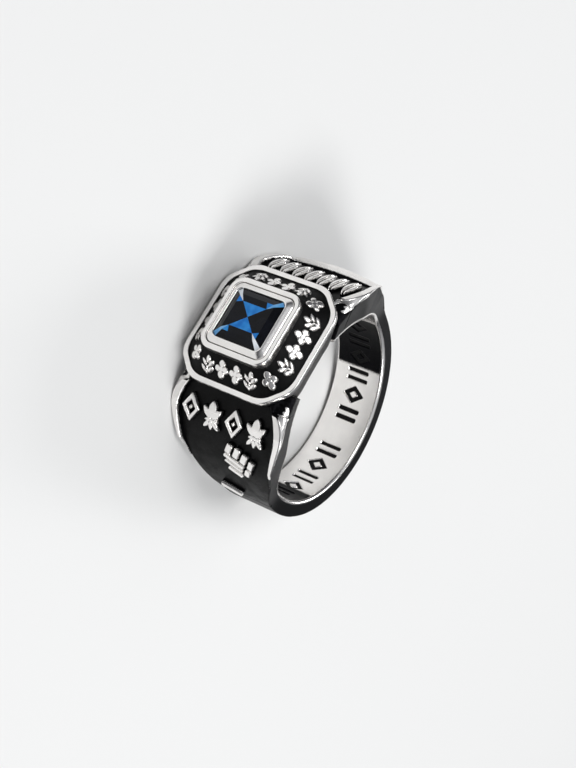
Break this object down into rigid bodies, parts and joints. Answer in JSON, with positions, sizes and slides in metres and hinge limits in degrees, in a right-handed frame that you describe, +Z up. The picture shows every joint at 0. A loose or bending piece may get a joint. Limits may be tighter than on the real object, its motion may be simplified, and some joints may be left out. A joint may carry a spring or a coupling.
{
  "type": "class ring",
  "caption": "Signet style class ring with an octagonal head, a square faceted stone in a raised collar, ornamented shoulders and a tapering band.",
  "frame": {"origin": "centre of the finger hole, on its axis", "axes": "+Z up from the surface that the ring lies on, +X towards the head, +Y towards the shoulder with the hand; the finger axis leans from +Z towards -X by the ring's rest angle of 8.9 degrees"},
  "size_m": [0.0285, 0.0244, 0.0131],
  "materials": {
    "silver": "polished cast silver with bright edges and darkened sides",
    "stone": "faceted deep blue stone, nearly opaque",
    "black_enamel": "black enamel fill, satin with a fine speckle"
  },
  "bodies": {
    "root": {"ring_body": "silver", "stone": "stone", "head_enamel": "black_enamel", "near_enamel": "black_enamel", "far_enamel": "black_enamel", "engraving_enamel": "black_enamel"}
  },
  "joints": []
}
